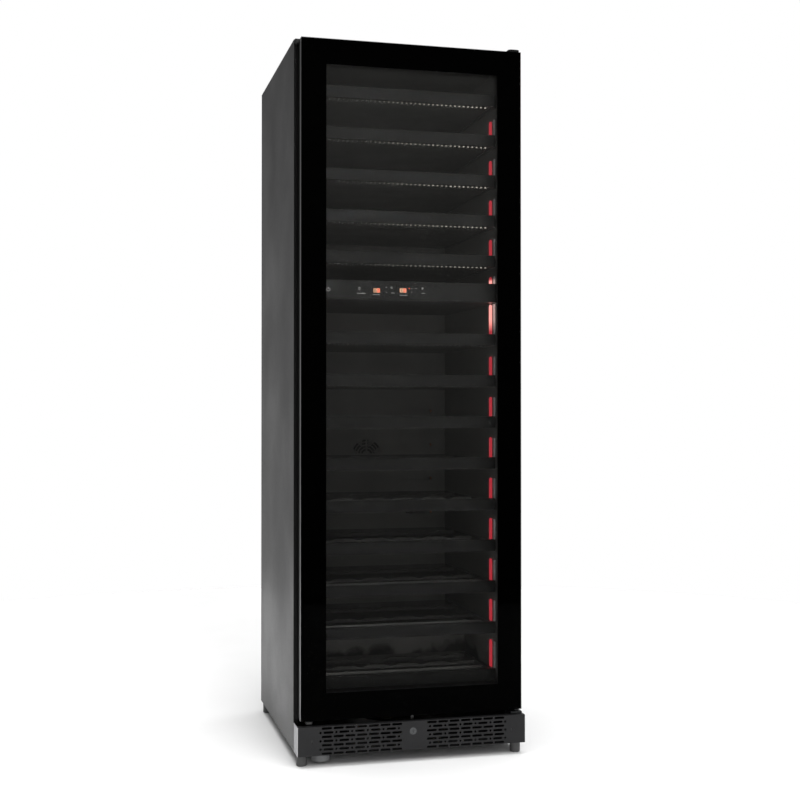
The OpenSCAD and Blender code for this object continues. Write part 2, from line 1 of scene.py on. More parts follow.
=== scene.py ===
"""Looks of a tall two-zone wine cooler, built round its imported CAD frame.

Metres, in the CAD frame: origin on the floor under the middle, -Y to the front, +Z up.
"""

import json
import math

import bmesh
import bpy
from mathutils import Matrix, Vector


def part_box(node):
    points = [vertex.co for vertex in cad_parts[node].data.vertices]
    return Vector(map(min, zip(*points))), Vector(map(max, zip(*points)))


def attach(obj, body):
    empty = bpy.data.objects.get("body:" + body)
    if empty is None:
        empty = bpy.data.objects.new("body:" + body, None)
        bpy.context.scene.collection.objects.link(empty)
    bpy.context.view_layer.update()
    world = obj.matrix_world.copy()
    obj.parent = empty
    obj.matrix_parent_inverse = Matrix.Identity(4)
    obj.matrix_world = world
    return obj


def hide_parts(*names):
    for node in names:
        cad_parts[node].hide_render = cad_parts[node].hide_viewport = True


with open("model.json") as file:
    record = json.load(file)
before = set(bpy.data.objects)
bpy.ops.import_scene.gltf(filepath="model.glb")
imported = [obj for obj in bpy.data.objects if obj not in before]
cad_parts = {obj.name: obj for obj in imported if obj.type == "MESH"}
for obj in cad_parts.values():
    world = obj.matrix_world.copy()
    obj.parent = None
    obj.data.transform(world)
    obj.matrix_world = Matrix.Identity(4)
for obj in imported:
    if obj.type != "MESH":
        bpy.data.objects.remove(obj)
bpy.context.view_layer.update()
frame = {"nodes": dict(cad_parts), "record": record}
nodes = frame["nodes"]
MM = 0.001
LENS_GLOW = 2.6
SLOT_PAINTED_GLOW = 1.1
BEZEL_PAINTED_GLOW = 0.8
SHELF_NAMES = [f"shelf_{i:02d}" for i in range(1, 15)]

# ---------- camera ----------

CAMERA_PLACE = (-0.8243, -3.4631, 0.8810)
CAMERA_PITCH = 0.5956
CAMERA_YAW = -14.166
CAMERA_LENS = 57.288

camera = bpy.data.objects.new("camera", bpy.data.cameras.new("camera"))
camera.location = CAMERA_PLACE
camera.rotation_euler = (math.radians(90 + CAMERA_PITCH), 0, math.radians(CAMERA_YAW))
camera.data.lens = CAMERA_LENS
camera.data.sensor_width = 36
camera.data.clip_end = 100
bpy.context.scene.collection.objects.link(camera)
bpy.context.scene.camera = camera

# ---------- shader helpers ----------


def start_material(name, sockets):
    """New Principled material with these values on its own sockets."""
    material = bpy.data.materials.new(name)
    material.use_nodes = True
    tree = material.node_tree
    shader = tree.nodes["Principled BSDF"]
    for socket, value in sockets.items():
        shader.inputs[socket].default_value = value
    return material, tree, shader


def noise(tree, scale, stretch=(1, 1, 1), detail=3.0):
    """Noise in the piece's own space, with scale features to a metre along an unstretched axis."""
    place = tree.nodes.new("ShaderNodeTexCoord")
    mapping = tree.nodes.new("ShaderNodeMapping")
    mapping.inputs["Scale"].default_value = stretch
    texture = tree.nodes.new("ShaderNodeTexNoise")
    texture.inputs["Scale"].default_value = scale
    texture.inputs["Detail"].default_value = detail
    tree.links.new(place.outputs["Object"], mapping.inputs["Vector"])
    tree.links.new(mapping.outputs["Vector"], texture.inputs["Vector"])
    return texture.outputs["Fac"]


def along(tree, axis, low, high, at_low, at_high):
    """Value that goes from at_low to at_high between two places along an axis of the frame."""
    place = tree.nodes.new("ShaderNodeTexCoord")
    split = tree.nodes.new("ShaderNodeSeparateXYZ")
    tree.links.new(place.outputs["Object"], split.inputs["Vector"])
    return spread(tree, split.outputs[axis], at_low, at_high, low, high)


def spread(tree, value, at_low, at_high, low=0.35, high=0.65):
    """Maps low to high of a value onto at_low to at_high, and clamps it."""
    node = tree.nodes.new("ShaderNodeMapRange")
    node.inputs["From Min"].default_value = low
    node.inputs["From Max"].default_value = high
    node.inputs["To Min"].default_value = at_low
    node.inputs["To Max"].default_value = at_high
    tree.links.new(value, node.inputs["Value"])
    return node.outputs["Result"]


def combine(tree, operation, a, b):
    """Math node on two outputs."""
    node = tree.nodes.new("ShaderNodeMath")
    node.operation = operation
    tree.links.new(a, node.inputs[0])
    tree.links.new(b, node.inputs[1])
    return node.outputs["Value"]


def ramp(tree, value, stops):
    """Colour ramp through (position, colour) stops."""
    node = tree.nodes.new("ShaderNodeValToRGB")
    elements = node.color_ramp.elements
    while len(elements) < len(stops):
        elements.new(0.5)
    for element, (position, colour) in zip(elements, stops):
        element.position = position
        element.color = (*colour, 1)
    tree.links.new(value, node.inputs["Fac"])
    return node.outputs["Color"]


def relief(tree, value, depth, under=None):
    """Bump of this depth in metres, over another one if given."""
    node = tree.nodes.new("ShaderNodeBump")
    node.inputs["Strength"].default_value = 1.0
    node.inputs["Distance"].default_value = depth
    tree.links.new(value, node.inputs["Height"])
    if under is not None:
        tree.links.new(under, node.inputs["Normal"])
    return node.outputs["Normal"]


def tinted(tone, factor):
    """Tone times a factor, kept within 1."""
    return tuple(min(1.0, c * factor) for c in tone)


def finish(name, tone, rough, contrast=0.12, mottle=6.0, grain=(900, 2e-5), stretch=(1, 1, 1),
           smudge=3.0, wave=None, beyond=None, **sockets):
    """Procedural finish: mottled tone, smudged roughness and a fine relief.

    rough is the lowest and highest roughness, grain the relief's scale and depth, stretch what
    draws the grain out into brush lines, and wave a second, broader relief like the first.
    beyond is (axis, low, high, tone): another tone that takes over between two places.
    """
    given = {"Base Color": (*tone, 1)}
    given.update({key.replace("_", " ").title().replace("Ior", "IOR"): value
                  for key, value in sockets.items()})
    material, tree, shader = start_material(name, given)
    blotches = noise(tree, mottle, detail=5.0)
    dark, light = 1 - contrast, 1 + contrast
    if beyond is None:
        colour = ramp(tree, blotches, [(0.35, tinted(tone, dark)), (0.65, tinted(tone, light))])
    else:
        axis, low, high, far = beyond
        value = combine(tree, "ADD", spread(tree, blotches, 0, 0.45), along(tree, axis, low, high, 0, 0.55))
        colour = ramp(tree, value, [(0.0, tinted(tone, dark)), (0.45, tinted(tone, light)),
                                    (0.55, tinted(far, dark)), (1.0, tinted(far, light))])
    tree.links.new(colour, shader.inputs["Base Color"])
    lines = noise(tree, grain[0], stretch, detail=2.0)
    wiped = combine(tree, "ADD", spread(tree, noise(tree, smudge, detail=6.0), rough[0], rough[1]),
                    spread(tree, lines, -0.04, 0.04))
    tree.links.new(wiped, shader.inputs["Roughness"])
    normal = None
    if wave is not None:
        normal = relief(tree, noise(tree, wave[0], detail=1.0), wave[1])
    tree.links.new(relief(tree, lines, grain[1], normal), shader.inputs["Normal"])
    return material


# ---------- finishes, one for each material slot of the record ----------

BRUSH_Z = (1, 1, 0.02)
PEEL = (650, 1.2e-5)
FINE = (2200, 1.0e-5)
# Back of the shelves' fascias, front edge of the side panels (which carries a painted shade) and left end of
# the plinth (which carries a painted reflection)
FASCIA_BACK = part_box("shelf_01")[0].y + 12.1 * MM
MOUTH_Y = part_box("side_panel_left")[0].y
PLINTH_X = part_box("kick_plate")[0].x

finishes = {
    # Painted shade: the panels' first 1.2 mm from the front, where they meet the door, are painted darker
    # than the rest of the same paint.
    "cabinet_steel": finish("satin_black_paint", (0.003, 0.003, 0.003), (0.34, 0.44), grain=PEEL,
                            wave=(2.2, 6e-4), mottle=2.0, IOR=1.34,
                            beyond=("Y", MOUTH_Y + 1.2 * MM, MOUTH_Y + 2.4 * MM, (0.012, 0.012, 0.0125))),
    "rear_steel": finish("rear_sheet_paint", (0.045, 0.046, 0.047), (0.4, 0.55), grain=PEEL, wave=(3, 5e-4)),
    "chassis_steel": finish("base_plate_coat", (0.03, 0.031, 0.032), (0.35, 0.55), contrast=0.3, mottle=60,
                            Metallic=0.3),
    "spacer_plastic": finish("spacer_moulding", (0.02, 0.02, 0.02), (0.45, 0.6), grain=FINE),
    "insulation": finish("cut_foam", (0.75, 0.66, 0.4), (0.8, 0.95), grain=(700, 4e-4), mottle=30),
    "liner_plastic": finish("liner_sheet", (0.016, 0.016, 0.015), (0.42, 0.55), grain=FINE, wave=(5, 2e-4),
                            beyond=("Z", 0.155, 0.24, (0.19, 0.19, 0.178))),
    "breaker_steel": finish("mouth_strip_paint", (0.006, 0.006, 0.006), (0.35, 0.45), grain=PEEL, IOR=1.2),
    "divider_board": finish("divider_sheet", (0.05, 0.05, 0.047), (0.45, 0.55), grain=FINE),
    "runner_steel": finish("runner_zinc", (0.22, 0.22, 0.225), (0.3, 0.45), grain=(900, 1e-5),
                           stretch=(1, 0.02, 1), Metallic=1.0),
    "duct_plastic": finish("duct_sheet", (0.18, 0.18, 0.168), (0.45, 0.6), grain=FINE),
    "evaporator_aluminium": finish("fin_aluminium", (0.5, 0.51, 0.52), (0.35, 0.5), stretch=BRUSH_Z,
                                   Metallic=1.0),
    "fan_plastic": finish("fan_moulding", (0.02, 0.02, 0.02), (0.35, 0.5), grain=FINE),
    "compressor_paint": finish("compressor_enamel", (0.012, 0.012, 0.012), (0.22, 0.34), grain=(300, 4e-5)),
    "condenser_steel": finish("condenser_enamel", (0.02, 0.02, 0.021), (0.35, 0.5), grain=(500, 2e-5)),
    "copper": finish("tarnished_copper", (0.62, 0.27, 0.14), (0.28, 0.48), contrast=0.35, mottle=45,
                     Metallic=1.0),
    "tray_plastic": finish("tray_moulding", (0.6, 0.6, 0.56), (0.45, 0.6), grain=FINE),
    "cup_plastic": finish("cup_moulding", (0.12, 0.122, 0.124), (0.4, 0.55), grain=FINE),
    "box_plastic": finish("board_box_moulding", (0.025, 0.025, 0.028), (0.45, 0.6), grain=FINE),
    # Painted reflection: the plinth's left end return gets a light tone (0.35) against the dark front,
    # standing for the bright floor and backdrop it reflects.
    "kick_steel": finish("plinth_paint_with_painted_end_reflection", (0.35, 0.35, 0.36), (0.3, 0.42), grain=PEEL, mottle=14, IOR=1.22,
                         wave=(9, 1.5e-4),
                         beyond=("X", PLINTH_X + 0.6 * MM, PLINTH_X + 1.5 * MM, (0.013, 0.013, 0.0135))),
    "screw_steel": finish("blackened_screw", (0.03, 0.03, 0.03), (0.3, 0.45), Metallic=0.6),
    "lock_metal": finish("lock_nickel", (0.07, 0.072, 0.074), (0.2, 0.3), grain=(3000, 8e-6), Metallic=0.8),
    "bolt_steel": finish("bolt_zinc", (0.08, 0.08, 0.08), (0.3, 0.45), stretch=BRUSH_Z, Metallic=1.0),
    "hinge_steel": finish("hinge_plate", (0.045, 0.046, 0.047), (0.35, 0.5), grain=PEEL, Metallic=0.9),
    "cover_plastic": finish("cap_moulding", (0.002, 0.002, 0.002), (0.4, 0.5), grain=FINE, IOR=1.15),
    "foot_plastic": finish("foot_moulding", (0.05, 0.05, 0.05), (0.45, 0.6), grain=FINE, contrast=0.2),
    "roller_nylon": finish("roller_nylon", (0.09, 0.09, 0.088), (0.4, 0.5), grain=FINE),
    "frame_plastic": finish("door_bar_moulding", (0.004, 0.004, 0.004), (0.4, 0.5), grain=FINE, IOR=1.14),
    "spacer_bar": finish("pane_spacer_black", (0.02, 0.02, 0.02), (0.4, 0.55), stretch=BRUSH_Z),
    "gasket_rubber": finish("gasket_rubber", (0.005, 0.005, 0.005), (0.55, 0.7), grain=(1500, 2e-5),
                            IOR=1.14),
    "trim_aluminium": finish("satin_edge_trim", (0.15, 0.15, 0.153), (0.30, 0.42), stretch=BRUSH_Z,
                             grain=(1400, 1e-5), Metallic=1.0),
    "shelf_steel": finish("shelf_paint", (0.0070, 0.0070, 0.0067), (0.36, 0.48), grain=PEEL, mottle=20,
                          IOR=1.3,
                          beyond=("Y", FASCIA_BACK - 0.2 * MM, FASCIA_BACK, (0.085, 0.085, 0.080))),
    "control_gloss": finish("control_strip_gloss", (0.0088, 0.0088, 0.0084), (0.22, 0.34), grain=FINE,
                            mottle=25),
}


def pane_material(name, tone, alpha):
    """Tinted pane: lamps and sight pass it, and its smears show only in the gloss."""
    material, tree, shader = start_material(name, {
        "Base Color": (*tone, 1), "Alpha": alpha, "IOR": 1.09, "Roughness": 0.04})
    smears = spread(tree, noise(tree, 7.0, detail=8.0), 0.02, 0.12, 0.45, 0.75)
    tree.links.new(smears, shader.inputs["Roughness"])
    tint = ramp(tree, noise(tree, 2.0), [(0.3, tinted(tone, 0.8)), (0.7, tinted(tone, 1.2))])
    tree.links.new(tint, shader.inputs["Base Color"])
    return material


finishes["outer_glass"] = pane_material("outer_pane", (0.0002, 0.0002, 0.0002), 0.13)
finishes["inner_glass"] = pane_material("inner_pane", (0.022, 0.022, 0.021), 0.10)
border_print = finish("black_border_print", (0.0001, 0.0001, 0.0001), (0.03, 0.07), grain=(40, 1e-7),
                      smudge=9.0, IOR=1.05)


def near_divider(tree):
    """1 close to the zone divider, where the two zones' light strips meet, and 0 elsewhere."""
    divider_low, divider_high = (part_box("zone_divider")[k].z for k in (0, 1))
    upper = along(tree, "Z", divider_high + 0.013, divider_high + 0.019, 1, 0)
    lower = along(tree, "Z", divider_low - 0.075, divider_low - 0.045, 0, 1)
    return combine(tree, "MULTIPLY", upper, lower)


def light_lens_material():
    """Red lens lit from inside, bleached where the two zones' strips meet at the divider."""
    material, tree, shader = start_material("red_light_lens", {
        "Base Color": (0.35, 0.01, 0.015, 1), "Roughness": 0.35, "Emission Strength": LENS_GLOW})
    strip = ramp(tree, near_divider(tree), [(0.0, (0.235, 0.015, 0.023)), (1.0, (0.8, 0.27, 0.24))])
    tree.links.new(strip, shader.inputs["Emission Color"])
    tree.links.new(relief(tree, noise(tree, 1.0, (200, 200, 900)), 1e-4), shader.inputs["Normal"])
    return material


finishes["lens_red"] = light_lens_material()


def bezel_material():
    """Satin strip beside the lenses, with a faint painted glow that stands for the lenses' light on it,
    strongest near the divider.
    """
    material, tree, shader = start_material("light_bezel", {
        "Base Color": (0.5, 0.5, 0.5, 1), "Roughness": 0.45, "Emission Strength": BEZEL_PAINTED_GLOW})
    # Painted light: the bezel glows faintly all along, and most near the divider, as if lit by the lenses.
    painted_lens_light = ramp(tree, near_divider(tree), [(0.0, (0.045, 0.042, 0.045)), (1.0, (0.75, 0.50, 0.46))])
    tree.links.new(painted_lens_light, shader.inputs["Emission Color"])
    tone = ramp(tree, noise(tree, 40), [(0.35, (0.42,) * 3), (0.65, (0.56,) * 3)])
    tree.links.new(tone, shader.inputs["Base Color"])
    tree.links.new(relief(tree, noise(tree, 1400, BRUSH_Z), 1e-5), shader.inputs["Normal"])
    return material


def glow_material(name, colour, strength):
    """Lit segments behind a faintly uneven diffuser."""
    material, tree, shader = start_material(name, {
        "Base Color": (*tinted(colour, 0.3), 1), "Roughness": 0.4, "Emission Strength": strength})
    uneven = ramp(tree, noise(tree, 600), [(0.3, tinted(colour, 0.85)), (0.7, colour)])
    tree.links.new(uneven, shader.inputs["Emission Color"])
    return material


digit_glow = glow_material("digit_glow", (1.0, 0.13, 0.07), 1.5)
pale_glow = glow_material("pale_digit_glow", (1.0, 0.62, 0.40), 0.55)
halo_glow = glow_material("display_halo", (1.0, 0.55, 0.32), 0.05)
mark_print = finish("mark_print", (0.34, 0.34, 0.33), (0.5, 0.6), grain=FINE)
bezel_aluminium_painted_glow = bezel_material()

# Near edges of the two rows of air slots in each shelf's tray, the size of a slot, and where the painted
# glow on the slot rims grows
FRONT_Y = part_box("control_fascia")[0].y
SLOT_Y = (FRONT_Y + 19.1 * MM, FRONT_Y + 36.1 * MM)
SLOT_SIZE = (3 * MM, 8 * MM)
PAINTED_GLOW_X = (-0.13, 0.23)
PAINTED_GLOW_Z = (1.14, 1.30)


def slot_rim_glow_material():
    """Rims with a painted glow at the slots' near ends, on the upper shelves and toward the lit right wall:
    the wall lenses' light painted on as emission.
    """
    material, tree, shader = start_material("slot_rim_painted_glow", {
        "Base Color": (0.12, 0.12, 0.11, 1), "Roughness": 0.4, "Emission Strength": SLOT_PAINTED_GLOW})
    # Painted light: the rims glow cream, strongest toward the right wall and the upper shelves, as if lit by
    # the wall lenses.
    upper = combine(tree, "MULTIPLY", along(tree, "X", *PAINTED_GLOW_X, 0, 1), along(tree, "Z", *PAINTED_GLOW_Z, 0, 1))
    near_edge = along(tree, "Y", SLOT_Y[0] + 2.4 * MM, SLOT_Y[0] + 3.0 * MM, 1, 0)
    painted_glow = combine(tree, "MULTIPLY", upper, near_edge)
    uneven = combine(tree, "MULTIPLY", painted_glow, spread(tree, noise(tree, 60), 0.6, 1.0))
    painted_glow_colour = ramp(tree, uneven, [(0.0, (0, 0, 0)), (1.0, (1.0, 0.93, 0.80))])
    tree.links.new(painted_glow_colour, shader.inputs["Emission Color"])
    tree.links.new(relief(tree, noise(tree, 3000), 1e-5), shader.inputs["Normal"])
    return material


slot_rim_glow = slot_rim_glow_material()
cap_grey = finish("corner_cap_moulding", (0.006, 0.006, 0.006), (0.4, 0.5), grain=FINE, IOR=1.15)

# ---------- CAD nodes: finish and softened edges ----------

# Bevel widths in millimetres
BEVELS = {
    "side_panel_left": 0.8, "side_panel_right": 0.8, "top_panel": 0.4, "rear_panel": 0.4,
    "machine_cover": 0.25, "base_chassis": 0.4, "wall_spacers": 1.0, "inner_liner": 1.0,
    "front_frame": 0.4, "control_fascia": 0.5, "led_lenses": 0.8, "fixed_runners": 0.3,
    "upper_duct_cover": 0.4, "lower_duct_cover": 0.4, "kick_plate": 0.35, "kick_plate_screws": 0.3,
    "lock_cylinder": 0.5, "lock_bolt": 0.6, "hinge_brackets": 0.5, "hinge_cover": 1.4,
    "roller_bracket": 0.3, "door_roller": 0.7, "door_frame": 0.8, "outer_glass": 0.4,
    "door_edge_trim": 0.45, "lock_catch": 0.3, "drip_tray": 0.6, "electronics_box": 1.2,
    "foot_front_left": 0.9, "foot_front_right": 0.9, "foot_rear_left": 0.9, "foot_rear_right": 0.9,
    "upper_fan_rotor": 0.4, "lower_fan_rotor": 0.4, "condenser_fan_rotor": 0.5,
    "condenser_fan_shroud": 0.5, "compressor": 1.5, "drain_cup": 0.8,
}
BEVELS.update({name: 0.35 for name in SHELF_NAMES})


def round_edges(piece, width):
    """Bevels the sharp edges by width, in millimetres, after joining the split corners."""
    weld = piece.modifiers.new("weld", "WELD")
    weld.merge_threshold = 1e-6
    merge = piece.modifiers.new("merge", "DECIMATE")
    merge.decimate_type = "DISSOLVE"
    merge.angle_limit = math.radians(0.2)
    bevel = piece.modifiers.new("bevel", "BEVEL")
    bevel.width = width * MM
    bevel.segments = 2
    bevel.limit_method = "ANGLE"
    bevel.angle_limit = math.radians(32)
    normals = piece.modifiers.new("normals", "WEIGHTED_NORMAL")
    normals.keep_sharp = False


for subpart in frame["record"]["subparts"]:
    node = nodes[subpart["node"]]
    node.data.materials.clear()
    node.data.materials.append(finishes[subpart["material_slot"]])
    if subpart["node"] in BEVELS:
        round_edges(node, BEVELS[subpart["node"]])

# ---------- mesh helpers ----------


def make_piece(name, mesh, material, body):
    """Mesh from a bmesh, as a piece that rides on a body."""
    data = bpy.data.meshes.new(name)
    bmesh.ops.recalc_face_normals(mesh, faces=mesh.faces)
    mesh.to_mesh(data)
    mesh.free()
    piece = bpy.data.objects.new(name, data)
    data.materials.append(material)
    bpy.context.scene.collection.objects.link(piece)
    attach(piece, body)
    return piece


def add_box(mesh, low, high):
    """Box between two opposite corners."""
    low, high = Vector(low), Vector(high)
    size = high - low
    place = Matrix.Translation((low + high) / 2) @ Matrix.Diagonal((*size, 1))
    bmesh.ops.create_cube(mesh, size=1, matrix=place)


def add_prism(mesh, outline, y_front, y_back):
    """Prism along Y from an outline of (x, z) points."""
    rings = [[mesh.verts.new((x, y, z)) for x, z in outline] for y in (y_front, y_back)]
    count = len(outline)
    mesh.faces.new(rings[0])
    mesh.faces.new(rings[1][::-1])
    for k in range(count):
        j = (k + 1) % count
        mesh.faces.new((rings[0][j], rings[0][k], rings[1][k], rings[1][j]))


def add_frame(mesh, low, high, profile):
    """Closed profile of (inset, y) points swept round the rectangle low to high in X and Z."""
    corners = ((1, 1), (-1, 1), (-1, -1), (1, -1))
    rings = []
    for sx, sz in corners:
        ring = []
        for inset, y in profile:
            x = (high[0] - inset) if sx > 0 else (low[0] + inset)
            z = (high[1] - inset) if sz > 0 else (low[1] + inset)
            ring.append(mesh.verts.new((x, y, z)))
        rings.append(ring)
    count = len(profile)
    for a in range(4):
        b = (a + 1) % 4
        for k in range(count):
            j = (k + 1) % count
            mesh.faces.new((rings[a][k], rings[a][j], rings[b][j], rings[b][k]))


def bevel_piece(piece, width, segments=2):
    """Bevel of this width in millimetres on a piece's sharp edges."""
    bevel = piece.modifiers.new("bevel", "BEVEL")
    bevel.width = width * MM
    bevel.segments = segments
    bevel.limit_method = "ANGLE"
    bevel.angle_limit = math.radians(32)


def smooth(piece, angle):
    """Smooth shading, broken at edges sharper than the angle, in degrees."""
    for polygon in piece.data.polygons:
        polygon.use_smooth = True
    piece.data.set_sharp_from_angle(angle=math.radians(angle))


# ---------- door ----------

pane_low, pane_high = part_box("outer_glass")
inner_low, inner_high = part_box("inner_glass")
WINDOW_REBATE = 20 * MM
window_low = (inner_low.x + WINDOW_REBATE, inner_low.z + WINDOW_REBATE)
window_high = (inner_high.x - WINDOW_REBATE, inner_high.z - WINDOW_REBATE)

# Black print in the back of the outer pane
border = bmesh.new()
edge = 0.2 * MM
outer_low = (pane_low.x + edge, pane_low.z + edge)
outer_high = (pane_high.x - edge, pane_high.z - edge)
loops = []
for y in (pane_high.y - 0.15 * MM, pane_high.y - 0.03 * MM):
    for low, high in ((outer_low, outer_high), (window_low, window_high)):
        loops.append([border.verts.new((x, y, z)) for x, z in (
            (low[0], low[1]), (high[0], low[1]), (high[0], high[1]), (low[0], high[1]))])
front_out, front_in, back_out, back_in = loops
for k in range(4):
    j = (k + 1) % 4
    border.faces.new((front_out[k], front_out[j], front_in[j], front_in[k]))
    border.faces.new((back_out[j], back_out[k], back_in[k], back_in[j]))
    border.faces.new((front_out[j], front_out[k], back_out[k], back_out[j]))
    border.faces.new((front_in[k], front_in[j], back_in[j], back_in[k]))
make_piece("border_print", border, border_print, "door")

# Bellows gasket: a tongue in the door, two folds and a pocket for the magnet
GASKET_PROFILE = [
    (2.4, 0.0), (11.6, 0.0), (11.6, 1.0), (13.2, 1.8), (13.9, 2.9), (13.2, 4.0), (11.8, 4.7),
    (11.8, 5.2), (13.3, 5.8), (13.9, 6.8), (13.9, 10.7), (13.2, 11.6), (0.8, 11.6), (0.1, 10.7),
    (0.1, 6.8), (0.7, 5.8), (2.2, 5.2), (2.2, 4.7), (0.8, 4.0), (0.1, 2.9), (0.8, 1.8), (2.4, 1.0)]
gasket_low, gasket_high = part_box("door_gasket")
bellows = bmesh.new()
add_frame(bellows, (gasket_low.x, gasket_low.z), (gasket_high.x, gasket_high.z),
          [(u * MM, gasket_low.y + v * MM) for u, v in GASKET_PROFILE])
gasket = make_piece("bellows_gasket", bellows, finishes["gasket_rubber"], "door")
gasket_bevel = gasket.modifiers.new("bevel", "BEVEL")
gasket_bevel.width = 0.3 * MM
gasket_bevel.segments = 2
smooth(gasket, 60)
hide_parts("door_gasket")

# ---------- lights inside ----------


def lens_spans():
    """Lowest and highest point of each lens on the right wall, from the parts of the CAD mesh."""
    mesh = bmesh.new()
    mesh.from_mesh(nodes["led_lenses"].data)
    bmesh.ops.remove_doubles(mesh, verts=mesh.verts, dist=1e-6)
    spans, seen = [], set()
    for start in mesh.verts:
        if start in seen or start.co.x < 0:
            continue
        seen.add(start)
        group = [start]
        for vert in group:
            for edge in vert.link_edges:
                other = edge.other_vert(vert)
                if other not in seen:
                    seen.add(other)
                    group.append(other)
        heights = [vert.co.z for vert in group]
        spans.append((min(heights), max(heights)))
    mesh.free()
    return spans


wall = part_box("led_lenses")[1].x + 0.35 * MM
BEZEL_Y = (FRONT_Y + 27.5 * MM, FRONT_Y + 35.5 * MM)
BEZEL_T = 3.6 * MM
bezels = bmesh.new()
for low, high in lens_spans():
    for side in (-1, 1):
        inner, outer = sorted((side * (wall - BEZEL_T), side * wall))
        add_box(bezels, (inner, BEZEL_Y[0], low + 2 * MM), (outer, BEZEL_Y[1], high - 1 * MM))
bezel = make_piece("light_bezels", bezels, bezel_aluminium_painted_glow, "cabinet")
bevel_piece(bezel, 0.4)

# ---------- control strip: marks, digits and their glow ----------

PRINT_Y = FRONT_Y - 0.08 * MM
PRINT_T = 0.07 * MM


def at_front(mesh, outline, y_front, thickness):
    """Flat prism whose outline is given in millimetres."""
    add_prism(mesh, [(x * MM, z * MM) for x, z in outline], y_front, y_front + thickness)


def add_bar(mesh, x0, x1, z0, z1):
    """Rectangle of print on the front of the control strip."""
    at_front(mesh, [(x0, z0), (x1, z0), (x1, z1), (x0, z1)], PRINT_Y, PRINT_T)


def add_arc(mesh, x, z, outer, inner, start, end, steps=20):
    """Ring segment between two angles, in degrees from +X."""
    angles = [math.radians(start + (end - start) * k / steps) for k in range(steps + 1)]
    for a, b in zip(angles, angles[1:]):
        at_front(mesh, [(x + r * math.cos(t), z + r * math.sin(t))
                        for r, t in ((inner, a), (outer, a), (outer, b), (inner, b))], PRINT_Y, PRINT_T)


def add_caption(mesh, x, z, width):
    """Row of small dashes that stands for a caption under a symbol."""
    dashes = (1.5, 0.9, 1.3, 1.1, 0.8, 1.5, 1.0, 1.2)
    half_height, space = 0.85, 0.7
    left, k = x - width / 2, 0
    while left < x + width / 2 - 1:
        w = dashes[k % len(dashes)]
        add_bar(mesh, left, left + w, z - half_height, z + half_height)
        left += w + space
        k += 1


SEGMENTS = {"0": "abcdef", "1": "bc", "8": "abcdefg"}


def add_digit(mesh, digit, x, z, w, h, y, stroke=1.4):
    """Seven-segment digit with its lower left corner at x, z."""
    s, gap = stroke / 2, 0.18
    left, right, low, mid, high = x + s, x + w - s, z + s, z + h / 2, z + h - s
    ends = {"a": (left, high, right, high), "b": (right, mid, right, high), "c": (right, low, right, mid),
            "d": (left, low, right, low), "e": (left, low, left, mid), "f": (left, mid, left, high),
            "g": (left, mid, right, mid)}
    for name in SEGMENTS[digit]:
        x0, z0, x1, z1 = ends[name]
        if z0 == z1:
            outline = [(x0 + gap, z0), (x0 + s + gap, z0 - s), (x1 - s - gap, z0 - s), (x1 - gap, z0),
                       (x1 - s - gap, z0 + s), (x0 + s + gap, z0 + s)]
        else:
            outline = [(x0, z0 + gap), (x0 + s, z0 + s + gap), (x0 + s, z1 - s - gap), (x0, z1 - gap),
                       (x0 - s, z1 - s - gap), (x0 - s, z0 + s + gap)]
        at_front(mesh, outline, y, 0.15 * MM)


def rounded(x0, x1, z0, z1, r, steps=5):
    """Outline of a rectangle with round corners."""
    outline = []
    corners = ((x1 - r, z0 + r, -90), (x1 - r, z1 - r, 0), (x0 + r, z1 - r, 90), (x0 + r, z0 + r, 180))
    for cx, cz, start in corners:
        for k in range(steps + 1):
            t = math.radians(start + 90 * k / steps)
            outline.append((cx + r * math.cos(t), cz + r * math.sin(t)))
    return outline


marks = bmesh.new()
add_arc(marks, -205.6, 1198, 4.6, 3.7, 120, 420)
add_bar(marks, -206.1, -205.1, 1198.8, 1203.4)
add_arc(marks, -124.5, 1203.0, 2.6, 1.9, -50, 230)
add_bar(marks, -125.7, -123.3, 1199.0, 1199.8)
add_bar(marks, -125.2, -123.8, 1197.7, 1198.4)
add_caption(marks, -119, 1189.7, 22)
add_caption(marks, -79.5, 1187.3, 19)
add_caption(marks, -35.7, 1192.5, 9)
add_caption(marks, -7.6, 1187.2, 20)
add_caption(marks, 46.2, 1193.6, 9)
for x, z, way in ((-53.5, 1206.8, 1), (-53.5, 1194.1, -1), (14.7, 1205.1, 1), (14.7, 1195.2, -1)):
    at_front(marks, [(x - 1.9, z - way * 0.9), (x + 1.9, z - way * 0.9), (x, z + way * 1.1)],
             PRINT_Y, PRINT_T)
for x in (-39.7, 43.5):
    add_arc(marks, x, 1205.9, 2.5, 1.8, 0, 360)
    add_bar(marks, x - 0.35, x + 0.35, 1204.4, 1207.4)
add_bar(marks, 23.6, 28.4, 1204.9, 1205.9)
make_piece("control_marks", marks, mark_print, "cabinet")

WINDOW_Y = FRONT_Y + 0.16 * MM
HALO_Y, HALO_T = WINDOW_Y + 0.17 * MM, 0.05 * MM
DIGIT_W, DIGIT_H, DIGIT_PITCH = 7.2, 9.8, 9.0
for name, digits, x, z in (("upper_display", "18", -87.0, 1193.2), ("lower_display", "08", -16.5, 1194.8)):
    for k, (digit, light) in enumerate(zip(digits, (pale_glow, digit_glow))):
        glow = bmesh.new()
        add_digit(glow, digit, x + k * DIGIT_PITCH, z, DIGIT_W, DIGIT_H, WINDOW_Y)
        make_piece(f"{name}_digit_{k + 1}", glow, light, "cabinet")
    halo = bmesh.new()
    outline = rounded(x - 1, x + DIGIT_PITCH + DIGIT_W + 1, z - 1, z + DIGIT_H + 1, 2)
    at_front(halo, outline, HALO_Y, HALO_T)
    make_piece(name + "_halo", halo, halo_glow, "cabinet")
dot = bmesh.new()
add_arc(dot, 8.0, 1205.2, 1.3, 0.5, 0, 360, 12)
make_piece("degree_mark", dot, digit_glow, "cabinet")
